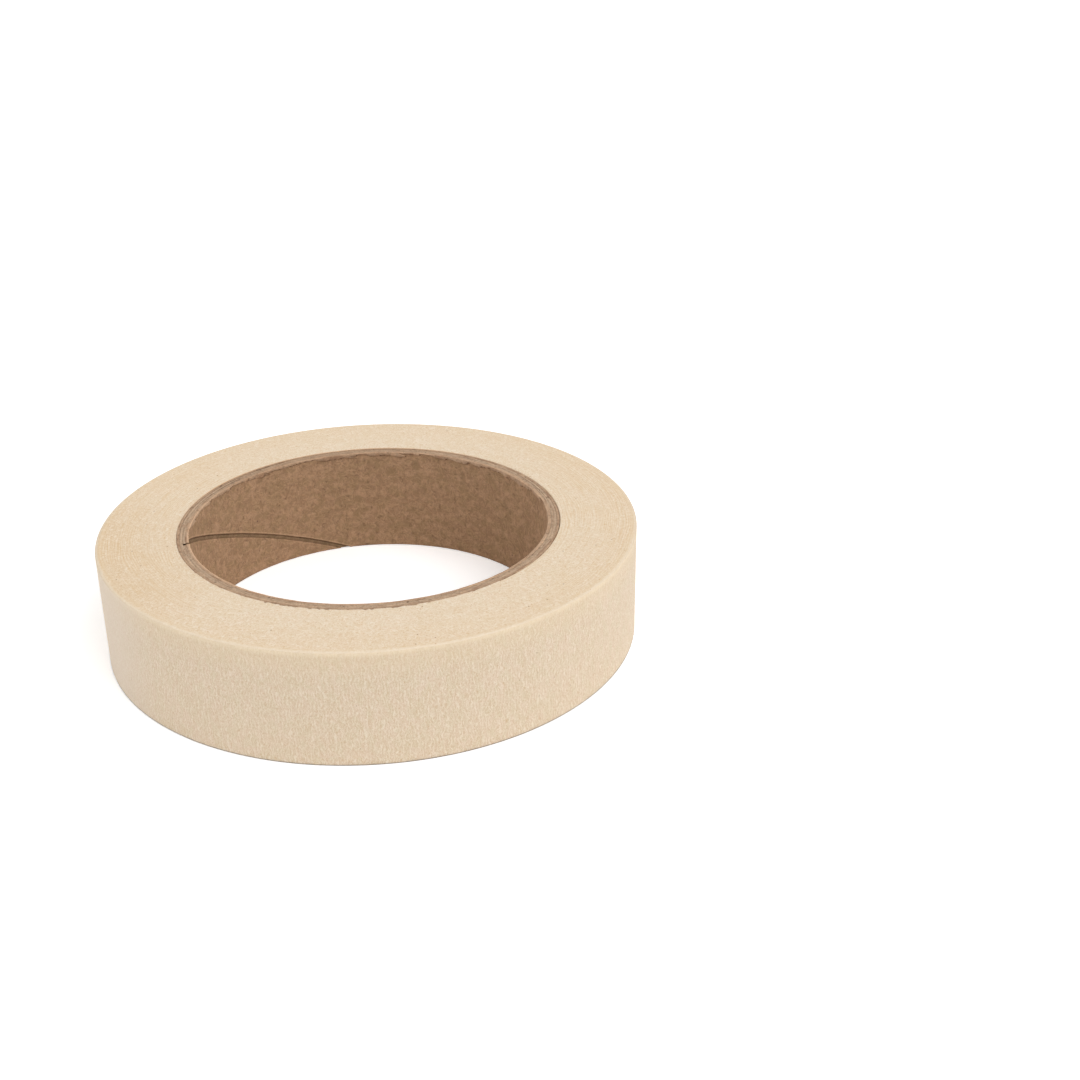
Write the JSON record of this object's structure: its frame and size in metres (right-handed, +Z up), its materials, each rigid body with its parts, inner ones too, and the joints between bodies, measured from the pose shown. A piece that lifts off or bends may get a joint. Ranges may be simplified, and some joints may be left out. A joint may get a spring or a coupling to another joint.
{
  "type": "masking tape roll",
  "caption": "Roll of cream crepe-paper masking tape on a spiral-wound brown board core, lying flat, with a loose end that peels off the outer lap.",
  "frame": {"origin": "centre of the roll's lower end, on the surface that it lies on", "axes": "+Z up the roll's axis; +X to the right and +Y away from a viewer in front of the roll; the tape's cut end is at the back, 114 degrees from +X"},
  "size_m": [0.1139, 0.1139, 0.0244],
  "materials": {
    "core_kraft": "matte",
    "core_board": "matte",
    "tape_edge": "matte",
    "tape_face": "matte"
  },
  "bodies": {
    "roll": {"core_liner_ply": "core_kraft", "core_inner_ply": "core_board", "core_middle_ply": "core_board", "core_outer_ply": "core_board", "tape_pack": "tape_edge", "tape_outer_lap": "tape_face"},
    "end_root": {"tape_end_root": "tape_face"},
    "end_second": {"tape_end_second": "tape_face"},
    "end_third": {"tape_end_third": "tape_face"},
    "end_tip": {"tape_end_tip": "tape_face"}
  },
  "joints": [
    {"name": "end_peel", "type": "hinge", "parent": "roll", "child": "end_root", "pos_m": [-0.04947, 0.02837, 0.0122], "axis": [0, 0, 1], "range_deg": [0, 35]},
    {"name": "end_curl_second", "type": "hinge", "parent": "end_root", "child": "end_second", "pos_m": [-0.0444, 0.03579, 0.0122], "axis": [0, 0, 1], "range_deg": [0, 35]},
    {"name": "end_curl_third", "type": "hinge", "parent": "end_second", "child": "end_third", "pos_m": [-0.03822, 0.04233, 0.0122], "axis": [0, 0, 1], "range_deg": [0, 35]},
    {"name": "end_curl_tip", "type": "hinge", "parent": "end_third", "child": "end_tip", "pos_m": [-0.0311, 0.04781, 0.0122], "axis": [0, 0, 1], "range_deg": [0, 35]}
  ],
  "couplings": [
    {"joint": "end_curl_second", "follows": "end_peel", "ratio": 1},
    {"joint": "end_curl_third", "follows": "end_peel", "ratio": 1},
    {"joint": "end_curl_tip", "follows": "end_peel", "ratio": 1}
  ]
}
